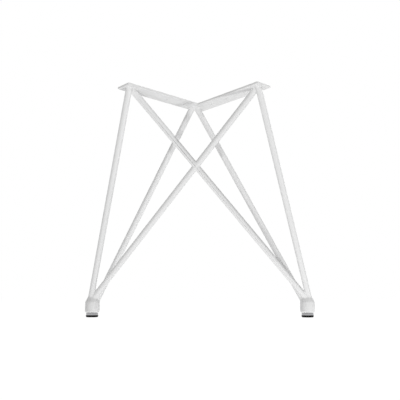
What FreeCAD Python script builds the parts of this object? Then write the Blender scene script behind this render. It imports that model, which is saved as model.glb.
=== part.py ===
import FreeCAD, Part

import math
import os

Vector = FreeCAD.Vector

# Welded steel table leg: a V of flat bar under the table top, six lines of round
# tube that cross between the bars and two feet, and a screw glide in each foot.
# All lengths are millimetres. +X is the right-hand foot, +Y the back of the V's
# corner, and Z = 0 the floor. The origin is the middle of the box round the leg.

# Overall stance
HEIGHT = 720.0              # floor to the top face of the bars
FEET_SPACING = 747.0        # between the two socket axes
CORNER_FORWARD = 69.0       # outer corner of the V, in front of the line of the feet

# Flat bars of the V, mitred and welded at the corner
BAR_WIDTH = 60.0
BAR_THICKNESS = 6.0
BAR_LENGTH = 340.0          # along the outer edge, corner to square end
V_ANGLE = 90.0              # between the bars, in degrees
BAR_EDGE_CHAMFER = 0.6      # sawn and rolled edges, eased

# Screw holes on the centre line of each bar
HOLE_DIAMETER = 6.0
HOLE_COUNT = 2              # on each bar
HOLE_FROM_END = 170.0       # square end to the nearest hole
HOLE_PITCH = 75.0

# Round tube
TUBE_DIAMETER = 20.0
TUBE_WALL = 2.0

# Tube heads, where the axes meet the underside of a bar
OUTER_HEAD_FROM_END = 19.0
OUTER_HEAD_FROM_INNER_EDGE = 24.0
CROSS_HEAD_FROM_END = 32.0
CROSS_HEAD_FROM_INNER_EDGE = 30.0
REAR_HEAD_BEHIND_CORNER = 41.5    # behind the inner corner of the V
REAR_HEAD_SPACING = 18.5          # between the two rear tubes
REAR_HEAD_OFFSET = -14.5          # the welded pair sits to the left of the corner

# Tube feet, where the axes meet the base plane of a socket's shoulder
OUTER_FOOT_OUTWARD = 9.5
OUTER_FOOT_BACK = 4.5
CROSS_FOOT_OUTWARD = 8.5
CROSS_FOOT_BACK = 1.5
REAR_FOOT_OUTWARD = -10.5
REAR_FOOT_BACK = 6.0

# Turned foot socket
SOCKET_DIAMETER = 50.0
SOCKET_BODY = 36.0          # bottom face to the base of the shoulder
SHOULDER_HEIGHT = 21.0
SHOULDER_TOP_DIAMETER = 28.0
SOCKET_CHAMFER_WIDTH = 4.0
SOCKET_CHAMFER_HEIGHT = 4.5

# Levelling glide: a screwed stem, a turned steel cap and a plastic pad
STEM_DIAMETER = 10.0
STEM_CLEARANCE = 0.05       # radial, between the stem and the tapped bore
STEM_HEAD_DIAMETER = 18.0
STEM_HEAD_HEIGHT = 4.0
BORE_DEPTH = 34.0
BORE_END_ROOM = 0.3         # stem tip to the bore's end when screwed right in
GLIDE_GAP = 1.0             # cap to socket as shown
SEATED_GAP = 0.3            # cap to socket when screwed right in
CAP_DIAMETER = 41.0
CAP_HEIGHT = 8.0
CAP_EDGE_CHAMFER = 0.9
PAD_DIAMETER = 42.0
PAD_HEIGHT = 7.0
PAD_EDGE_CHAMFER = 2.0

LEFT = -1
RIGHT = 1

# Heights
underside = HEIGHT - BAR_THICKNESS
cap_top = PAD_HEIGHT + CAP_HEIGHT
head_top = PAD_HEIGHT + STEM_HEAD_HEIGHT
socket_bottom = cap_top + GLIDE_GAP
shoulder_base = socket_bottom + SOCKET_BODY
socket_top = shoulder_base + SHOULDER_HEIGHT

# The V in plan, before the origin is moved to the middle of the box
half_angle = math.radians(V_ANGLE / 2)
mitre_reach = BAR_WIDTH / math.sin(half_angle)
inner_length = BAR_LENGTH - BAR_WIDTH / math.tan(half_angle)
inner_corner_forward = CORNER_FORWARD + mitre_reach
tip_forward = inner_corner_forward + inner_length * math.cos(half_angle)
feet_y = (tip_forward - SOCKET_DIAMETER / 2) / 2
inner_corner = Vector(0, feet_y - inner_corner_forward, 0)
outer_corner = Vector(0, feet_y - CORNER_FORWARD, 0)


def along_bar(side):
    """Plan direction of a bar, from the corner of the V to its square end."""
    return Vector(side * math.sin(half_angle), -math.cos(half_angle), 0)


def across_bar(side):
    """Plan direction across a bar, from its inner edge to its outer edge."""
    return Vector(side * math.cos(half_angle), math.sin(half_angle), 0)


def on_bar(side, from_end, from_inner_edge, z):
    """Point on a bar, set out from its square end and its inner edge."""
    along = along_bar(side) * (inner_length - from_end)
    across = across_bar(side) * from_inner_edge
    return inner_corner + along + across + Vector(0, 0, z)


def turned(points):
    """Solid turned about Z from the (radius, height) points of half its section."""
    corners = [Vector(r, 0, z) for r, z in points]
    profile = Part.Face(Part.makePolygon(corners + corners[:1]))
    return Part.Solid(profile.revolve(Vector(), Vector(0, 0, 1), 360))


def at_foot(shape, side):
    """Shape moved from the origin's axis to the axis of a foot."""
    placed = shape.copy()
    placed.translate(Vector(side * FEET_SPACING / 2, feet_y, 0))
    return placed


def on_mitre(edge):
    """True for an edge that lies in the mitre plane of the V."""
    return abs(edge.CenterOfMass.x) < BAR_EDGE_CHAMFER


def mounting_bar(side):
    """Flat bar with a mitred corner, a square end, eased edges and screw holes."""
    end_inner = on_bar(side, 0, 0, 0)
    end_outer = on_bar(side, 0, BAR_WIDTH, 0)
    outline = [inner_corner, outer_corner, end_outer, end_inner]
    raise_up = Vector(0, 0, underside)
    corners = [point + raise_up for point in outline]
    face = Part.Face(Part.makePolygon(corners + corners[:1]))
    bar = face.extrude(Vector(0, 0, BAR_THICKNESS))
    eased = [edge for edge in bar.Edges if not on_mitre(edge)]
    bar = bar.makeChamfer(BAR_EDGE_CHAMFER, eased)
    for number in range(HOLE_COUNT):
        from_end = HOLE_FROM_END + number * HOLE_PITCH
        base = on_bar(side, from_end, BAR_WIDTH / 2, underside)
        bar = bar.cut(Part.makeCylinder(HOLE_DIAMETER / 2, BAR_THICKNESS, base))
    return bar


def socket_blank():
    """Outside form of a foot socket: chamfered foot, straight body, coned shoulder."""
    radius = SOCKET_DIAMETER / 2
    points = [
        (0, socket_bottom),
        (radius - SOCKET_CHAMFER_WIDTH, socket_bottom),
        (radius, socket_bottom + SOCKET_CHAMFER_HEIGHT),
        (radius, shoulder_base),
        (SHOULDER_TOP_DIAMETER / 2, socket_top),
        (0, socket_top),
    ]
    return turned(points)


def foot_socket():
    """Socket with its tapped bore."""
    bore = STEM_DIAMETER / 2
    points = [
        (0, socket_bottom),
        (bore, socket_bottom),
        (bore, socket_bottom + BORE_DEPTH),
        (0, socket_bottom + BORE_DEPTH),
    ]
    return socket_blank().cut(turned(points))


def glide_stem():
    """Stem with a flat head between cap and pad; its tip stops short of the bore's end."""
    shank = STEM_DIAMETER / 2 - STEM_CLEARANCE
    head = STEM_HEAD_DIAMETER / 2
    seated_rise = GLIDE_GAP - SEATED_GAP
    tip = socket_bottom + BORE_DEPTH - BORE_END_ROOM - seated_rise
    points = [
        (0, PAD_HEIGHT),
        (head, PAD_HEIGHT),
        (head, head_top),
        (shank, head_top),
        (shank, tip),
        (0, tip),
    ]
    return turned(points)


def glide_cap():
    """Turned steel cap, let out from below for the stem's head."""
    shank = STEM_DIAMETER / 2 - STEM_CLEARANCE
    head = STEM_HEAD_DIAMETER / 2
    radius = CAP_DIAMETER / 2
    points = [
        (shank, head_top),
        (head, head_top),
        (head, PAD_HEIGHT),
        (radius, PAD_HEIGHT),
        (radius, cap_top - CAP_EDGE_CHAMFER),
        (radius - CAP_EDGE_CHAMFER, cap_top),
        (shank, cap_top),
    ]
    return turned(points)


def glide_pad():
    """Plastic pad under cap and stem, with an eased lower edge."""
    radius = PAD_DIAMETER / 2
    points = [
        (0, 0),
        (radius - PAD_EDGE_CHAMFER, 0),
        (radius, PAD_EDGE_CHAMFER),
        (radius, PAD_HEIGHT),
        (0, PAD_HEIGHT),
    ]
    return turned(points)


def foot_point(side, outward, back):
    """Point on the base plane of a socket's shoulder."""
    x = side * (FEET_SPACING / 2 + outward)
    return Vector(x, feet_y + back, shoulder_base)


def rear_head(side):
    """Head of a rear tube, on the mitre line of the V."""
    x = REAR_HEAD_OFFSET + side * REAR_HEAD_SPACING / 2
    return inner_corner + Vector(x, REAR_HEAD_BEHIND_CORNER, underside)


def round_bar(head, foot, radius):
    """Solid round bar on the line from head to foot, trimmed at the bar and the shoulder."""
    run = foot - head
    spare = run * (2 * TUBE_DIAMETER / run.Length)
    length = run.Length + 2 * spare.Length
    bar = Part.makeCylinder(radius, length, head - spare, run)
    reach = max(FEET_SPACING, 2 * tip_forward)
    corner = Vector(-reach, -reach, shoulder_base)
    slab = Part.makeBox(2 * reach, 2 * reach, underside - shoulder_base, corner)
    return bar.common(slab)


def fitted_tube(head, foot, solids_met):
    """Pieces of a tube, coped where it meets each of the solids fitted before it."""
    bore = round_bar(head, foot, TUBE_DIAMETER / 2 - TUBE_WALL)
    tube = round_bar(head, foot, TUBE_DIAMETER / 2).cut(bore)
    for solid in solids_met:
        tube = tube.cut(solid)
    return sorted(tube.Solids, key=lambda piece: piece.Volume, reverse=True)


def tube_lines():
    """Head and foot of each line of tube, in the order in which they are fitted."""
    outer_head = (OUTER_HEAD_FROM_END, OUTER_HEAD_FROM_INNER_EDGE, underside)
    cross_head = (CROSS_HEAD_FROM_END, CROSS_HEAD_FROM_INNER_EDGE, underside)
    outer_foot = (OUTER_FOOT_OUTWARD, OUTER_FOOT_BACK)
    cross_foot = (CROSS_FOOT_OUTWARD, CROSS_FOOT_BACK)
    rear_foot = (REAR_FOOT_OUTWARD, REAR_FOOT_BACK)
    return {
        "cross_tube": (on_bar(RIGHT, *cross_head), foot_point(LEFT, *cross_foot)),
        "cut_cross_tube": (on_bar(LEFT, *cross_head), foot_point(RIGHT, *cross_foot)),
        "left_outer_tube": (on_bar(LEFT, *outer_head), foot_point(LEFT, *outer_foot)),
        "right_outer_tube": (on_bar(RIGHT, *outer_head), foot_point(RIGHT, *outer_foot)),
        "left_rear_tube": (rear_head(LEFT), foot_point(LEFT, *rear_foot)),
        "right_rear_tube": (rear_head(RIGHT), foot_point(RIGHT, *rear_foot)),
    }


def tubes():
    """All tubes. The second cross tube is cut where the first runs through it."""
    fitted = [at_foot(socket_blank(), side) for side in (LEFT, RIGHT)]
    made = {}
    for name, (head, foot) in tube_lines().items():
        pieces = fitted_tube(head, foot, fitted)
        fitted.append(round_bar(head, foot, TUBE_DIAMETER / 2))
        if name == "cut_cross_tube":
            halves = sorted(pieces[:2], key=lambda piece: piece.CenterOfMass.z)
            made["cross_tube_lower_half"] = halves[0]
            made["cross_tube_upper_half"] = halves[1]
        else:
            made[name] = pieces[0]
    return made


def feet():
    """Socket and glide of both feet."""
    makers = {
        "foot_socket": foot_socket,
        "glide_stem": glide_stem,
        "glide_cap": glide_cap,
        "glide_pad": glide_pad,
    }
    made = {}
    for side_name, side in (("left", LEFT), ("right", RIGHT)):
        for name, maker in makers.items():
            made[side_name + "_" + name] = at_foot(maker(), side)
    return made


def leg():
    """Every piece of the leg by its name."""
    made = {
        "left_mounting_bar": mounting_bar(LEFT),
        "right_mounting_bar": mounting_bar(RIGHT),
    }
    made.update(tubes())
    made.update(feet())
    return made


def main():
    os.makedirs("parts", exist_ok=True)
    for name, shape in leg().items():
        shape.exportStep("parts/" + name + ".step")


main()
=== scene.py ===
"""Finish of a welded steel table leg: coated tubes, weld fillets, levelling glides and a pale studio."""

import math

import bmesh
import bpy
from mathutils import Euler, Matrix, Vector
from mathutils.bvhtree import BVHTree


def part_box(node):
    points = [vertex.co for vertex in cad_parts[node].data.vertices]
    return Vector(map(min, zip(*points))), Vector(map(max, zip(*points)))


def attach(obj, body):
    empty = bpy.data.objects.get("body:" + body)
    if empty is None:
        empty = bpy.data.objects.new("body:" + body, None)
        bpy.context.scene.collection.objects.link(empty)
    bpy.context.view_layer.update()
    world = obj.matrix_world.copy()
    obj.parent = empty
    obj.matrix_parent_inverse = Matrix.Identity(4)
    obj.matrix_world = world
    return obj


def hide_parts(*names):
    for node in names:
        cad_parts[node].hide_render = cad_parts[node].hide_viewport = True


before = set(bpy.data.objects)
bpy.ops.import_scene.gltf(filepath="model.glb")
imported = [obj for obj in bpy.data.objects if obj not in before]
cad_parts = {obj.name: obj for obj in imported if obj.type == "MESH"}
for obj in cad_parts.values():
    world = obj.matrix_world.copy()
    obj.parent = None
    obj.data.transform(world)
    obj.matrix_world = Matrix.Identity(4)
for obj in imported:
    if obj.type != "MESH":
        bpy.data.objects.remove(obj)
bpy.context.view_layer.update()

bl_info = {
    "name": "Welded Table Leg",
    "version": (1, 0, 0),
    "blender": (4, 5, 0),
    "location": "3D View > Sidebar > Table Leg",
    "description": "Dresses a welded steel table leg and stands it in a pale studio",
    "category": "Object",
}

MM = 0.001
NEAR = 0.01 * MM                # a point this close to a ring or a cut lies on it
MERGED = 0.001 * MM             # points this close are one
SIDES = {"left": -1, "right": 1}

COAT = "white_powder_coat"
STEEL = "zinc_plated_steel"
PLASTIC = "black_plastic"

# Flat bars, which meet at a right angle in a V
BAR_LOW, BAR_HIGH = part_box("left_mounting_bar")
UNDERSIDE = BAR_LOW.z
PLATE_TOP = BAR_HIGH.z
BAR_WIDTH = 60 * MM
BAR_LENGTH = 340 * MM           # along its outer edge
INNER_EDGE = BAR_LENGTH - BAR_WIDTH
INNER_CORNER = Vector((0, 9.5686, 0)) * MM

# Foot sockets
SOCKET_LOW, SOCKET_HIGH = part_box("left_foot_socket")
SOCKET_RADIUS = 25 * MM
SOCKET_BODY = 36 * MM
SHOULDER_BASE = SOCKET_LOW.z + SOCKET_BODY
FEET_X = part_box("right_foot_socket")[1].x - SOCKET_RADIUS
FEET_Y = (SOCKET_LOW.y + SOCKET_HIGH.y) / 2

# Heads of the tubes at the underside of the bars, outwards and back from the origin, in millimetres
CROSS_HEAD = (196.5757, -144.5807)
OUTER_HEAD = (201.5254, -158.0158)
REAR_HEADS = {"left": (-23.75, 51.0686), "right": (-5.25, 51.0686)}    # both left of the middle

# Feet of the tubes at the base of a shoulder, outwards and back from the origin, in millimetres
CROSS_FOOT = (382.0, 164.9214)
OUTER_FOOT = (383.0, 167.9214)
REAR_FOOT = (363.0, 169.4214)

# Lines round a whole turn
TURNED_STEPS = 96
TUBE_STEPS = 64
STUB_STEPS = 96
HEAD_STEPS = 64
THREAD_STEPS = 40

# What the skin of a weld covers, from its joint outwards
FOOT_STUB = 95 * MM
HEAD_STUB = 55 * MM
CORNER_STUB = 45 * MM
CROSSING_STUB = 28 * MM
HEAD_BLOCK = 62 * MM
CORNER_BLOCK = 30 * MM
BLOCK_INSET = 0.3 * MM          # from a bar's edges
STUB_SINK = 3 * MM              # of a stub's head under the bars' top face

# Swing of each roughness, cells of each texture in a metre and heights of the finest textures
COAT_SWING = 0.06
STEEL_SWING = 0.12
PLASTIC_SWING = 0.1
HAZE_SCALE = 400.0
LATHE_SCALE = 500.0
GRAIN_SCALE = 1800.0
LATHE_DEPTH = 0.004 * MM
GRAIN_DEPTH = 0.015 * MM

# Lamps round the middle of the leg: degrees to the right of its front and degrees up
LAMPS_ROUND = Vector((0, 0, 0.4))
LAMPS = {
    "front": (6, 4),
    "right": (70, 36),
    "low_right": (54, -52),
    "low_left": (-26, -18),
    "back": (170, 35),
}

# Floor: half its side in metres, and the strength and share of the white that melts into the background
FLOOR_REACH = 20.0
FLOOR_WHITE = 1.05
FLOOR_SHARE = 0.96

# Camera as for the photograph: place in metres, tilt and turn in degrees, lens in millimetres
CAMERA_RIGHT = 0.152542
CAMERA_BEFORE_FEET = 2.042771
CAMERA_HEIGHT = 0.064673
CAMERA_TILT = 9.618
CAMERA_TURN = 1.386
CAMERA_LENS = 52.208
CAMERA_SENSOR = 36.0
CAMERA_SHIFT = -0.0729


def bar_ways(sign):
    """Unit vectors along a bar, from the corner of the V to its end, and across it to its outer edge."""
    half = math.sqrt(0.5)
    return Vector((sign * half, -half, 0)), Vector((sign * half, half, 0))


def head_point(sign, place):
    """Middle of a tube's head, at the underside of the bars."""
    x, y = place
    return Vector((sign * x * MM, y * MM, UNDERSIDE))


def foot_point(sign, place):
    """Middle of a tube's foot, at the base of a socket's shoulder."""
    x, y = place
    return Vector((sign * x * MM, y * MM, SHOULDER_BASE))


def tube_axes():
    """Head and foot of each straight line of tube, in the order in which they were fitted."""
    axes = {
        "cross_tube": (head_point(1, CROSS_HEAD), foot_point(-1, CROSS_FOOT)),
        "cut_cross_tube": (head_point(-1, CROSS_HEAD), foot_point(1, CROSS_FOOT)),
    }
    for side, sign in SIDES.items():
        axes[side + "_outer_tube"] = (head_point(sign, OUTER_HEAD), foot_point(sign, OUTER_FOOT))
    for side, sign in SIDES.items():
        axes[side + "_rear_tube"] = (head_point(1, REAR_HEADS[side]), foot_point(sign, REAR_FOOT))
    return axes


AXES = tube_axes()


class Signal:
    """A shader socket in Python arithmetic: every operation adds its Math node."""

    def __init__(self, graph, socket):
        self.graph = graph
        self.socket = socket

    def maths(self, operation, other):
        settings = {"operation": operation}
        return self.graph.node("ShaderNodeMath", settings, {0: self, 1: other})

    def output(self, name):
        """Another output of the same node."""
        return Signal(self.graph, self.socket.node.outputs[name])

    def __add__(self, other):
        return self.maths("ADD", other)

    def __mul__(self, other):
        return self.maths("MULTIPLY", other)

    def __or__(self, other):
        return self.maths("MAXIMUM", other)

    __radd__ = __add__
    __rmul__ = __mul__


class Graph:
    """Node tree of a material or a world, filled through one method."""

    def __init__(self, owner):
        owner.use_nodes = True
        self.tree = owner.node_tree
        self.tree.nodes.clear()

    def node(self, kind, settings=None, inputs=None, output=0):
        """Adds a node: its settings first, then the values or links of its sockets."""
        made = self.tree.nodes.new(kind)
        for name, value in (settings or {}).items():
            setattr(made, name, value)
        for key, value in (inputs or {}).items():
            if isinstance(value, Signal):
                self.tree.links.new(value.socket, made.inputs[key])
            else:
                made.inputs[key].default_value = value
        return Signal(self, made.outputs[output]) if made.outputs else None


def colour_property(name, description, default):
    return bpy.props.FloatVectorProperty(
        name=name, description=description, default=default, size=3, subtype="COLOR", min=0, max=1
    )


def length_property(name, description, default):
    return bpy.props.FloatProperty(
        name=name, description=description, default=default, unit="LENGTH", precision=5, min=0
    )


def power_property(name, description, default):
    return bpy.props.FloatProperty(
        name=name, description=description, default=default, unit="POWER", min=0
    )


def share_property(name, description, default):
    return bpy.props.FloatProperty(
        name=name, description=description, default=default, subtype="FACTOR", min=0, max=1
    )


class TubeSettings(bpy.types.PropertyGroup):
    """Round tube and the welds at its ends."""

    diameter: length_property("Diameter", "Outside diameter of the tube", 20 * MM)
    wall: length_property("Wall", "Wall of the tube", 2 * MM)
    weld_voxel: length_property("Weld grain", "Cell of the weld's mesh", 1.0 * MM)
    weld_rounds: bpy.props.IntProperty(
        name="Weld rounds", description="Rounds of smoothing that fill the corners", default=30, min=0
    )
    weld_sink: length_property("Weld sink", "Depth of a weld's skin under a flat face", 0.12 * MM)


class FootSettings(bpy.types.PropertyGroup):
    """Turned socket and levelling glide."""

    socket_diameter: length_property("Socket", "Diameter of the socket", 2 * SOCKET_RADIUS)
    shoulder_top: length_property("Shoulder top", "Diameter of the shoulder's top", 28 * MM)
    shoulder_round: length_property("Shoulder round", "Rounding at the shoulder's base", 3 * MM)
    top_round: length_property("Top round", "Rounding at the shoulder's top", 2 * MM)
    chamfer_width: length_property("Chamfer width", "Chamfer under the socket", 4 * MM)
    chamfer_height: length_property("Chamfer height", "Chamfer under the socket", 4.5 * MM)
    chamfer_round: length_property("Chamfer round", "Rounding above the chamfer", 0.7 * MM)
    face_round: length_property("Face round", "Rounding round the socket's lower face", 0.5 * MM)
    bore_diameter: length_property("Bore", "Tapped bore of the socket", 10 * MM)
    bore_depth: length_property("Bore depth", "Depth of the tapped bore", 34 * MM)
    bore_chamfer: length_property("Bore chamfer", "Chamfer at the mouth of the bore", 1 * MM)
    stem_clearance: length_property("Stem clearance", "Between the stem and what it runs in", 0.05 * MM)
    thread_pitch: length_property("Thread pitch", "Rise of the thread in one turn", 1.5 * MM)
    thread_depth: length_property("Thread depth", "Crest to root", 0.85 * MM)
    head_diameter: length_property("Stem head", "Diameter of the stem's flat head", 18 * MM)
    head_height: length_property("Stem head height", "Height of the stem's flat head", 4 * MM)
    cap_round: length_property("Cap round", "Rounded upper edge of the steel cap", 1.2 * MM)
    cap_foot_round: length_property("Cap foot round", "Rounded lower edge of the steel cap", 0.3 * MM)
    pad_round: length_property("Pad round", "Rounding under the pad", 4.0 * MM)
    pad_top_round: length_property("Pad top round", "Rounded upper edge of the pad", 0.5 * MM)


class FinishSettings(bpy.types.PropertyGroup):
    """Colours and textures of the coat, the steel and the plastic."""

    coat_colour: colour_property("Coat colour", "White of the powder coat", (0.80, 0.80, 0.80))
    coat_roughness: share_property("Coat roughness", "Satin powder coat", 0.38)
    peel_size: length_property("Orange peel size", "Width of the coat's ripples", 1.6 * MM)
    peel_depth: length_property("Orange peel depth", "Height of the coat's ripples", 0.006 * MM)
    lump_size: length_property("Weld lumps", "Length of a lump in a weld", 5.0 * MM)
    lump_depth: length_property("Weld lump height", "Height of a lump in a weld", 0.15 * MM)
    # Grey darker than the plating's own: painted dim reflection, for the darker surroundings that the
    # real caps and stems reflect
    steel_colour_with_painted_dim_reflection: colour_property("Steel colour", "Satin zinc plating", (0.40, 0.40, 0.41))
    steel_roughness: share_property("Steel roughness", "Turned and plated steel", 0.30)
    pad_colour: colour_property("Pad colour", "Black moulded plastic", (0.004, 0.004, 0.004))
    pad_roughness: share_property("Pad roughness", "Matt moulded plastic", 0.50)
    pad_gloss: share_property("Pad gloss", "Specular level of the plastic", 0.06)


class StageSettings(bpy.types.PropertyGroup):
    """Floor, sky and lamps."""

    floor_colour: colour_property("Floor colour", "Pale floor", (0.92, 0.92, 0.92))
    floor_glow: share_property("Floor glow", "Even light from the floor", 0.29)
    sky_level: bpy.props.FloatProperty(
        name="Sky level", description="Strength of the even light", default=0.24, min=0
    )
    lamp_distance: length_property("Lamp distance", "From each lamp to the middle of the leg", 2.0)
    lamp_size: length_property("Lamp size", "Side of each square lamp", 0.14)
    front_power: power_property("Front", "Lamp in front", 5.5)
    right_power: power_property("Right", "Lamp high on the right", 8.0)
    low_right_power: power_property("Low right", "Lamp below, in front on the right", 10.0)
    low_left_power: power_property("Low left", "Lamp below, in front on the left", 6.5)
    back_power: power_property("Back", "Lamp high behind", 14.0)


def link_piece(name, mesh, material, body, slot, nodes=()):
    """A finished mesh as a piece that rides on a body and stands for the CAD nodes it replaces."""
    mesh.materials.clear()
    mesh.materials.append(material)
    piece = bpy.data.objects.new(name, mesh)
    bpy.context.scene.collection.objects.link(piece)
    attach(piece, body)
    if nodes:
        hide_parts(*nodes)


def finished_mesh(bm, name, sharp=35):
    """Mesh of a bmesh, which is freed, smooth but for edges that turn by more than the given degrees."""
    mesh = bpy.data.meshes.new(name)
    bm.to_mesh(mesh)
    bm.free()
    mesh.polygons.foreach_set("use_smooth", [True] * len(mesh.polygons))
    mesh.set_sharp_from_angle(angle=math.radians(sharp))
    return mesh


def kept_material(name, make, settings):
    """A finish by its name, made the first time that it is asked for."""
    return bpy.data.materials.get(name) or make(name, settings)


def noise(graph, place, scale, detail, roughness=0.5):
    """Value from 0 to 1 that wanders over a surface."""
    inputs = {"Vector": place, "Scale": scale, "Detail": detail, "Roughness": roughness}
    return graph.node("ShaderNodeTexNoise", {"noise_dimensions": "3D"}, inputs)


def bumped(graph, height):
    """Normal of a surface that is raised by a height in metres."""
    return graph.node("ShaderNodeBump", inputs={"Height": height, "Strength": 1.0, "Distance": 1.0})


def swing(middle, spread, texture):
    """A value that swings by the given spread round its middle with a texture from 0 to 1."""
    return spread * texture + (middle - spread / 2)


def set_surface(graph, inputs):
    """Ends a material in one Principled shader."""
    shader = graph.node("ShaderNodeBsdfPrincipled", inputs=inputs)
    graph.node("ShaderNodeOutputMaterial", inputs={"Surface": shader})


def powder_coat(name, settings, lumps=0.0):
    """Satin white powder coat with a fine orange peel, over lumps of the given height."""
    material = bpy.data.materials.new(name)
    graph = Graph(material)
    place = graph.node("ShaderNodeTexCoord", output="Object")
    peel = noise(graph, place, 1 / settings.peel_size, 2.0)
    height = settings.peel_depth * peel
    if lumps:
        height = height + lumps * noise(graph, place, 1 / settings.lump_size, 1.0, 0.4)
    inputs = {
        "Base Color": (*settings.coat_colour, 1),
        "Roughness": swing(settings.coat_roughness, COAT_SWING, peel),
        "IOR": 1.5,
        "Normal": bumped(graph, height),
    }
    set_surface(graph, inputs)
    return material


def weld_coat(name, settings):
    """The same coat over the lumps of a weld."""
    return powder_coat(name, settings, settings.lump_depth)


def plated_steel(name, settings):
    """Satin plated steel with fine rings from the lathe round its sides."""
    material = bpy.data.materials.new(name)
    graph = Graph(material)
    place = graph.node("ShaderNodeTexCoord", output="Object")
    haze = noise(graph, place, HAZE_SCALE, 3.0)
    rings = graph.node(
        "ShaderNodeTexWave",
        {"wave_type": "BANDS", "bands_direction": "Z"},
        {"Vector": place, "Scale": LATHE_SCALE, "Distortion": 0.0},
    )
    inputs = {
        # Base colour darkened below bright plating: painted dim reflection
        "Base Color": (*settings.steel_colour_with_painted_dim_reflection, 1),
        "Metallic": 1.0,
        "Roughness": swing(settings.steel_roughness, STEEL_SWING, haze),
        "Normal": bumped(graph, LATHE_DEPTH * rings),
    }
    set_surface(graph, inputs)
    return material


def pad_plastic(name, settings):
    """Matt black moulded plastic with a fine grain."""
    material = bpy.data.materials.new(name)
    graph = Graph(material)
    place = graph.node("ShaderNodeTexCoord", output="Object")
    grain = noise(graph, place, GRAIN_SCALE, 2.0)
    inputs = {
        "Base Color": (*settings.pad_colour, 1),
        "Roughness": swing(settings.pad_roughness, PLASTIC_SWING, grain),
        "Specular IOR Level": settings.pad_gloss,
        "Normal": bumped(graph, GRAIN_DEPTH * grain),
    }
    set_surface(graph, inputs)
    return material


class LEG_OT_bars(bpy.types.Operator):
    """Powder coat on the two flat bars"""

    bl_idname = "table_leg.bars"
    bl_label = "Coat the Bars"

    def execute(self, context):
        material = kept_material("powder_coat", powder_coat, context.scene.leg_finish)
        for side in SIDES:
            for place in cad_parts[side + "_mounting_bar"].material_slots:
                place.material = material
        return {"FINISHED"}


def turned(points, steps=TURNED_STEPS):
    """Closed form turned about Z from the (radius, height) points of half its section."""
    bm = bmesh.new()
    verts = [bm.verts.new((radius, 0, height)) for radius, height in points]
    for first, second in zip(verts, verts[1:]):
        bm.edges.new((first, second))
    bmesh.ops.spin(
        bm,
        geom=bm.verts[:] + bm.edges[:],
        axis=(0, 0, 1),
        cent=(0, 0, 0),
        angle=math.tau,
        steps=steps,
        use_merge=True,
    )
    bmesh.ops.remove_doubles(bm, verts=bm.verts[:], dist=MERGED)
    bmesh.ops.recalc_face_normals(bm, faces=bm.faces[:])
    return bm


def on_ring(vert, radius, height):
    """Whether a point lies on the ring at a radius and a height."""
    return abs(vert.co.z - height) < NEAR and abs(vert.co.xy.length - radius) < NEAR


def round_rings(bm, rings):
    """Rounds the ring edges at the given (radius, height) by the given amount."""
    for radius, height, offset in rings:
        edges = [edge for edge in bm.edges if all(on_ring(v, radius, height) for v in edge.verts)]
        bmesh.ops.bevel(
            bm, geom=edges, offset=offset, segments=5, profile=0.5, affect="EDGES", material=-1
        )


def foot_place(sign):
    """Matrix from the Z axis to the axis of a foot."""
    return Matrix.Translation((sign * FEET_X, FEET_Y, 0))


def socket_form(settings, sign):
    """Foot socket at its place, with its bore, chamfered foot and rounded shoulder."""
    radius = settings.socket_diameter / 2
    bore = settings.bore_diameter / 2
    top = settings.shoulder_top / 2
    low = SOCKET_LOW.z
    high = SOCKET_HIGH.z
    bore_end = low + settings.bore_depth
    chamfer_top = low + settings.chamfer_height
    inner = radius - settings.chamfer_width
    points = [
        (0, bore_end),
        (bore, bore_end),
        (bore, low + settings.bore_chamfer),
        (bore + settings.bore_chamfer, low),
        (inner, low),
        (radius, chamfer_top),
        (radius, SHOULDER_BASE),
        (top, high),
        (0, high),
    ]
    rings = [
        (inner, low, settings.face_round),
        (radius, chamfer_top, settings.chamfer_round),
        (radius, SHOULDER_BASE, settings.shoulder_round),
        (top, high, settings.top_round),
    ]
    bm = turned(points)
    round_rings(bm, rings)
    bm.transform(foot_place(sign))
    return bm


class LEG_OT_sockets(bpy.types.Operator):
    """Turned sockets of both feet"""

    bl_idname = "table_leg.sockets"
    bl_label = "Turn the Sockets"

    def execute(self, context):
        scene = context.scene
        material = kept_material("powder_coat", powder_coat, scene.leg_finish)
        for side, sign in SIDES.items():
            node = side + "_foot_socket"
            mesh = finished_mesh(socket_form(scene.leg_foot, sign), node + "_turned")
            link_piece(mesh.name, mesh, material, "frame", COAT, [node])
        return {"FINISHED"}


def axis_frame(point, direction):
    """Matrix that carries the Z axis to a line through a point."""
    turn = direction.to_track_quat("Z", "Y").to_matrix().to_4x4()
    return Matrix.Translation(point) @ turn


def add_rod(bm, start, end, radius, steps):
    """Adds a closed round rod from start to end."""
    run = end - start
    bmesh.ops.create_cone(
        bm,
        cap_ends=True,
        cap_tris=False,
        segments=steps,
        radius1=radius,
        radius2=radius,
        depth=run.length,
        matrix=axis_frame((start + end) / 2, run),
    )


def add_copy(bm, other):
    """Adds the geometry of another bmesh, which is freed."""
    mesh = bpy.data.meshes.new("copy")
    other.to_mesh(mesh)
    other.free()
    bm.from_mesh(mesh)
    bpy.data.meshes.remove(mesh)


def fitted_before(name, foot, radius):
    """What a tube is coped against: the bars' underside, the sockets and the earlier tubes."""
    bm = bmesh.new()
    for sign in SIDES.values():
        add_copy(bm, socket_form(foot, sign))
    above = Matrix.Translation((0, 0, UNDERSIDE))
    bmesh.ops.create_grid(bm, x_segments=1, y_segments=1, size=1.0, matrix=above)
    for other, (start, end) in AXES.items():
        if other == name:
            break
        add_rod(bm, start, end, radius, TUBE_STEPS)
    bm.normal_update()
    tree = BVHTree.FromBMesh(bm)
    bm.free()
    return tree


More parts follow.
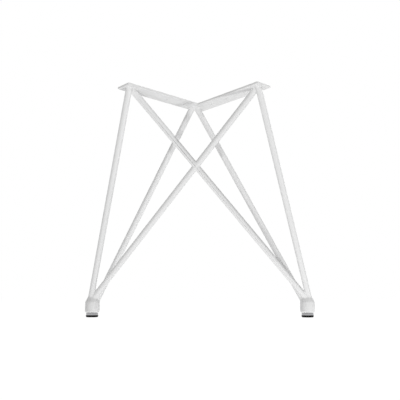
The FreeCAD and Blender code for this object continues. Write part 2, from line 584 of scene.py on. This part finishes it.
def coped_tube(axis, middle, tree, settings):
    """Tube round an axis, run both ways from a middle point until every line of it meets the tree."""
    head, foot = axis
    down = (foot - head).normalized()
    bm = bmesh.new()
    place = axis_frame(middle, down)
    bmesh.ops.create_circle(bm, segments=TUBE_STEPS, radius=settings.diameter / 2, matrix=place)
    lower = bm.verts[:]
    made = bmesh.ops.extrude_edge_only(bm, edges=bm.edges[:])["geom"]
    upper = [item for item in made if isinstance(item, bmesh.types.BMVert)]
    for verts, way in ((lower, down), (upper, -down)):
        for vert in verts:
            hit = tree.ray_cast(vert.co, way)[0]
            if hit is None:
                raise RuntimeError("a tube meets nothing")
            vert.co = hit
    bmesh.ops.recalc_face_normals(bm, faces=bm.faces[:])
    face = bm.faces[:][0]
    centre = face.calc_center_median()
    nearest = head + down * (centre - head).dot(down)
    if face.normal.dot(centre - nearest) < 0:
        bmesh.ops.reverse_faces(bm, faces=bm.faces[:])
    bmesh.ops.solidify(bm, geom=bm.faces[:], thickness=settings.wall)
    return bm


def crossing_point():
    """Where the axes of the two cross tubes meet."""
    head, foot = AXES["cross_tube"]
    share = head.x / (head.x - foot.x)
    return head.lerp(foot, share)


class LEG_OT_tubes(bpy.types.Operator):
    """Straight tubes, coped where they meet"""

    bl_idname = "table_leg.tubes"
    bl_label = "Cope the Tubes"

    def execute(self, context):
        scene = context.scene
        settings = scene.leg_tube
        material = kept_material("powder_coat", powder_coat, scene.leg_finish)
        for name, (head, foot) in AXES.items():
            tree = fitted_before(name, scene.leg_foot, settings.diameter / 2)
            if name == "cut_cross_tube":
                crossing = crossing_point()
                middles = {
                    "cross_tube_upper_half": (head + crossing) / 2,
                    "cross_tube_lower_half": (foot + crossing) / 2,
                }
            else:
                middles = {name: (head + foot) / 2}
            for node, middle in middles.items():
                bm = coped_tube((head, foot), middle, tree, settings)
                mesh = finished_mesh(bm, node + "_coped")
                link_piece(mesh.name, mesh, material, "frame", COAT, [node])
        return {"FINISHED"}


def plate_block(sign, start, end, sink):
    """Block inside a bar between two places along its inner edge, sunk under the bar's flat faces."""
    along, across = bar_ways(sign)
    low = UNDERSIDE + sink
    high = PLATE_TOP - 3 * sink
    centre = INNER_CORNER + along * ((start + end) / 2) + across * (BAR_WIDTH / 2)
    centre.z = (low + high) / 2
    turn = Matrix((along, across, Vector((0, 0, 1)))).transposed().to_4x4()
    size = Matrix.Diagonal((end - start, BAR_WIDTH - 2 * BLOCK_INSET, high - low, 1))
    bm = bmesh.new()
    bmesh.ops.create_cube(bm, size=1.0, matrix=Matrix.Translation(centre) @ turn @ size)
    bmesh.ops.recalc_face_normals(bm, faces=bm.faces[:])
    return bm


def add_stub(bm, name, low, high, radius):
    """Adds the stretch of a tube between two heights, cut level at both."""
    head, foot = AXES[name]
    run = foot - head
    spare = run.normalized() * (2 * radius)
    start = head + run * ((high - head.z) / run.z) - spare
    end = head + run * ((low - head.z) / run.z) + spare
    rod = bmesh.new()
    add_rod(rod, start, end, radius, STUB_STEPS)
    for height, way in ((low, -1), (high, 1)):
        cut = bmesh.ops.bisect_plane(
            rod,
            geom=rod.verts[:] + rod.edges[:] + rod.faces[:],
            plane_co=(0, 0, height),
            plane_no=(0, 0, way),
            clear_outer=True,
        )["geom_cut"]
        rim = [item for item in cut if isinstance(item, bmesh.types.BMEdge)]
        bmesh.ops.contextual_create(rod, geom=rim)
    bmesh.ops.recalc_face_normals(rod, faces=rod.faces[:])
    add_copy(bm, rod)


def weld_forms(foot, settings):
    """Name and overlapping closed forms of each weld."""
    radius = settings.diameter / 2
    stub_top = PLATE_TOP - STUB_SINK
    for side, sign in SIDES.items():
        bm = socket_form(foot, sign)
        crossing = "cross_tube" if sign < 0 else "cut_cross_tube"
        for tube in (crossing, side + "_outer_tube", side + "_rear_tube"):
            add_stub(bm, tube, SHOULDER_BASE, SHOULDER_BASE + FOOT_STUB, radius)
        yield side + "_foot_weld", bm
    for side, sign in SIDES.items():
        bm = plate_block(sign, INNER_EDGE - HEAD_BLOCK, INNER_EDGE - BLOCK_INSET, settings.weld_sink)
        crossing = "cross_tube" if sign > 0 else "cut_cross_tube"
        for tube in (crossing, side + "_outer_tube"):
            add_stub(bm, tube, UNDERSIDE - HEAD_STUB, stub_top, radius)
        yield side + "_head_weld", bm
    bm = plate_block(SIDES["left"], BLOCK_INSET - BAR_WIDTH, CORNER_BLOCK, settings.weld_sink)
    for side in SIDES:
        add_stub(bm, side + "_rear_tube", UNDERSIDE - CORNER_STUB, stub_top, radius)
    yield "corner_weld", bm
    bm = bmesh.new()
    level = crossing_point().z
    for tube in ("cross_tube", "cut_cross_tube"):
        add_stub(bm, tube, level - CROSSING_STUB, level + CROSSING_STUB, radius)
    yield "crossing_weld", bm


def weld_skin(bm, settings, name):
    """Fuses overlapping closed forms into one skin, whose corners are filled by smoothing."""
    mesh = bpy.data.meshes.new(name)
    bm.to_mesh(mesh)
    bm.free()
    rough = bpy.data.objects.new(name, mesh)
    bpy.context.scene.collection.objects.link(rough)
    fuse = rough.modifiers.new("fuse", "REMESH")
    fuse.mode = "VOXEL"
    fuse.voxel_size = settings.weld_voxel
    graph = bpy.context.evaluated_depsgraph_get()
    fused = bpy.data.meshes.new_from_object(rough.evaluated_get(graph))
    bpy.data.objects.remove(rough)
    bpy.data.meshes.remove(mesh)
    bm = bmesh.new()
    bm.from_mesh(fused)
    bpy.data.meshes.remove(fused)
    for _ in range(settings.weld_rounds):
        bmesh.ops.smooth_vert(
            bm, verts=bm.verts[:], factor=0.5, use_axis_x=True, use_axis_y=True, use_axis_z=True
        )
    return finished_mesh(bm, name, sharp=80)


class LEG_OT_welds(bpy.types.Operator):
    """Weld fillets under the bars, at the crossing and round the feet"""

    bl_idname = "table_leg.welds"
    bl_label = "Run the Welds"

    def execute(self, context):
        scene = context.scene
        material = kept_material("weld_coat", weld_coat, scene.leg_finish)
        for name, bm in weld_forms(scene.leg_foot, scene.leg_tube):
            mesh = weld_skin(bm, scene.leg_tube, name)
            link_piece(name, mesh, material, "frame", COAT)
        return {"FINISHED"}


def glide_pad(settings, low, high):
    """Moulded pad on the Z axis, as wide and high as a box."""
    radius = (high.x - low.x) / 2
    bm = turned([(0, low.z), (radius, low.z), (radius, high.z), (0, high.z)])
    round_rings(bm, [(radius, low.z, settings.pad_round), (radius, high.z, settings.pad_top_round)])
    return bm


def glide_cap(settings, low, high):
    """Turned cap on the Z axis, as wide and high as a box, hollowed from below for the stem's head."""
    radius = (high.x - low.x) / 2
    shank = settings.bore_diameter / 2 - settings.stem_clearance
    head = settings.head_diameter / 2
    ceiling = low.z + settings.head_height
    points = [
        (shank, ceiling),
        (head, ceiling),
        (head, low.z),
        (radius, low.z),
        (radius, high.z),
        (shank, high.z),
        (shank, ceiling),
    ]
    bm = turned(points)
    round_rings(bm, [(radius, low.z, settings.cap_foot_round), (radius, high.z, settings.cap_round)])
    return bm


def glide_stem(settings, low, high):
    """Screwed stem on the Z axis, as high as a box, with a flat head at its lower end."""
    crest = settings.bore_diameter / 2 - settings.stem_clearance
    root = crest - settings.thread_depth
    head = settings.head_diameter / 2
    neck = low.z + settings.head_height
    pitch = settings.thread_pitch
    turns = math.ceil((high.z - neck) / pitch) + 2
    flat = pitch / 8
    section = [
        (root, 0),
        (root, flat),
        (crest, (pitch - flat) / 2),
        (crest, (pitch + flat) / 2),
        (root, pitch),
    ]
    bm = bmesh.new()
    verts = [bm.verts.new((reach, 0, neck - pitch + rise)) for reach, rise in section]
    for first, second in zip(verts, verts[1:]):
        bm.edges.new((first, second))
    bmesh.ops.spin(
        bm,
        geom=bm.verts[:] + bm.edges[:],
        axis=(0, 0, 1),
        cent=(0, 0, 0),
        dvec=(0, 0, pitch / THREAD_STEPS),
        angle=math.tau * turns,
        steps=THREAD_STEPS * turns,
        use_merge=False,
    )
    bmesh.ops.remove_doubles(bm, verts=bm.verts[:], dist=NEAR)
    for height, way in ((neck, -1), (high.z, 1)):
        bmesh.ops.bisect_plane(
            bm,
            geom=bm.verts[:] + bm.edges[:] + bm.faces[:],
            plane_co=(0, 0, height),
            plane_no=(0, 0, way),
            clear_outer=True,
        )
        open_edges = [edge for edge in bm.edges if edge.is_boundary]
        rim = [edge for edge in open_edges if abs(edge.verts[0].co.z - height) < NEAR]
        bmesh.ops.contextual_create(bm, geom=rim)
    bmesh.ops.recalc_face_normals(bm, faces=bm.faces[:])
    add_copy(bm, turned([(0, low.z), (head, low.z), (head, neck), (0, neck)], steps=HEAD_STEPS))
    return bm


class LEG_OT_glides(bpy.types.Operator):
    """Screwed stems, turned steel caps and plastic pads of the levelling glides"""

    bl_idname = "table_leg.glides"
    bl_label = "Fit the Glides"

    def execute(self, context):
        scene = context.scene
        steel = kept_material("plated_steel", plated_steel, scene.leg_finish)
        plastic = kept_material("pad_plastic", pad_plastic, scene.leg_finish)
        parts = {
            "pad": (glide_pad, plastic, PLASTIC),
            "cap": (glide_cap, steel, STEEL),
            "stem": (glide_stem, steel, STEEL),
        }
        for side, sign in SIDES.items():
            for part, (make, material, slot) in parts.items():
                node = f"{side}_glide_{part}"
                bm = make(scene.leg_foot, *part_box(node))
                bm.transform(foot_place(sign))
                mesh = finished_mesh(bm, node + "_finished")
                link_piece(mesh.name, mesh, material, side + "_glide", slot, [node])
        return {"FINISHED"}


def seen_straight(graph):
    """1 where the camera, gloss or glass looks, and 0 where only scattered light arrives."""
    path = graph.node("ShaderNodeLightPath", output="Is Camera Ray")
    return path | path.output("Is Glossy Ray") | path.output("Is Transmission Ray")


def set_world(level):
    """Even light, with plain white where the camera, gloss or glass looks past the leg."""
    world = bpy.data.worlds.new("studio")
    bpy.context.scene.world = world
    graph = Graph(world)
    strength = seen_straight(graph) * (1.0 - level) + level
    back = graph.node("ShaderNodeBackground", inputs={"Color": (1, 1, 1, 1), "Strength": strength})
    graph.node("ShaderNodeOutputWorld", inputs={"Surface": back})


def floor_material(colour, glow):
    """Pale floor with an even glow, which melts into the white background."""
    material = bpy.data.materials.new("pale_floor")
    graph = Graph(material)
    share = seen_straight(graph) * (FLOOR_SHARE - glow) + glow
    matt = graph.node("ShaderNodeBsdfDiffuse", inputs={"Color": (*colour, 1)})
    white = graph.node("ShaderNodeEmission", inputs={"Color": (1, 1, 1, 1), "Strength": FLOOR_WHITE})
    mixed = graph.node("ShaderNodeMixShader", inputs={0: share, 1: matt, 2: white})
    graph.node("ShaderNodeOutputMaterial", inputs={"Surface": mixed})
    return material


def add_floor(settings):
    """Wide pale floor, which casts no shadow on the leg from the lamps below it."""
    bm = bmesh.new()
    bmesh.ops.create_grid(bm, x_segments=1, y_segments=1, size=FLOOR_REACH)
    mesh = bpy.data.meshes.new("floor")
    bm.to_mesh(mesh)
    bm.free()
    mesh.materials.append(floor_material(settings.floor_colour, settings.floor_glow))
    floor = bpy.data.objects.new("floor", mesh)
    floor.visible_shadow = False
    bpy.context.scene.collection.objects.link(floor)


def add_lamp(name, location, size, power):
    """Square lamp aimed at the middle of the leg, seen neither by the camera nor in gloss."""
    data = bpy.data.lights.new(name, "AREA")
    data.size = size
    data.energy = power
    lamp = bpy.data.objects.new(name, data)
    lamp.visible_camera = False
    lamp.visible_glossy = False
    lamp.location = location
    lamp.rotation_euler = (LAMPS_ROUND - location).to_track_quat("-Z", "Y").to_euler()
    bpy.context.scene.collection.objects.link(lamp)


def add_camera():
    """Camera low in front, turned a little left and tilted up, as the leg was photographed."""
    data = bpy.data.cameras.new("camera")
    data.lens = CAMERA_LENS
    data.sensor_width = CAMERA_SENSOR
    data.shift_x = CAMERA_SHIFT
    camera = bpy.data.objects.new("camera", data)
    camera.location = (CAMERA_RIGHT, FEET_Y - CAMERA_BEFORE_FEET, CAMERA_HEIGHT)
    camera.rotation_euler = (math.radians(90 + CAMERA_TILT), 0, math.radians(CAMERA_TURN))
    bpy.context.scene.collection.objects.link(camera)
    bpy.context.scene.camera = camera


class LEG_OT_stage(bpy.types.Operator):
    """Pale floor, soft light and the camera"""

    bl_idname = "table_leg.stage"
    bl_label = "Build the Stage"

    def execute(self, context):
        settings = context.scene.leg_stage
        add_floor(settings)
        set_world(settings.sky_level)
        for name, (turn, rise) in LAMPS.items():
            way = Vector((0, -settings.lamp_distance, 0))
            way.rotate(Euler((math.radians(-rise), 0, math.radians(turn))))
            power = getattr(settings, name + "_power")
            add_lamp(name, LAMPS_ROUND + way, settings.lamp_size, power)
        add_camera()
        context.scene.view_settings.view_transform = "Standard"
        return {"FINISHED"}


class LEG_PT_parts(bpy.types.Panel):
    """Buttons and settings for the pieces of the leg"""

    bl_label = "Table Leg"
    bl_idname = "LEG_PT_parts"
    bl_space_type = "VIEW_3D"
    bl_region_type = "UI"
    bl_category = "Table Leg"

    def draw(self, context):
        for operator in OPERATORS:
            self.layout.operator(operator.bl_idname)
        for group in SETTINGS:
            settings = getattr(context.scene, group)
            for name in settings.bl_rna.properties.keys():
                if name not in ("rna_type", "name"):
                    self.layout.prop(settings, name)


OPERATORS = (LEG_OT_bars, LEG_OT_sockets, LEG_OT_tubes, LEG_OT_welds, LEG_OT_glides, LEG_OT_stage)
SETTINGS = {
    "leg_tube": TubeSettings,
    "leg_foot": FootSettings,
    "leg_finish": FinishSettings,
    "leg_stage": StageSettings,
}
CLASSES = (*SETTINGS.values(), *OPERATORS, LEG_PT_parts)


def register():
    for item in CLASSES:
        bpy.utils.register_class(item)
    for name, item in SETTINGS.items():
        setattr(bpy.types.Scene, name, bpy.props.PointerProperty(type=item))


def unregister():
    for name in SETTINGS:
        delattr(bpy.types.Scene, name)
    for item in reversed(CLASSES):
        bpy.utils.unregister_class(item)


def main():
    register()
    bpy.ops.table_leg.bars()
    bpy.ops.table_leg.sockets()
    bpy.ops.table_leg.tubes()
    bpy.ops.table_leg.welds()
    bpy.ops.table_leg.glides()
    bpy.ops.table_leg.stage()


if __name__ == "__main__":
    main()
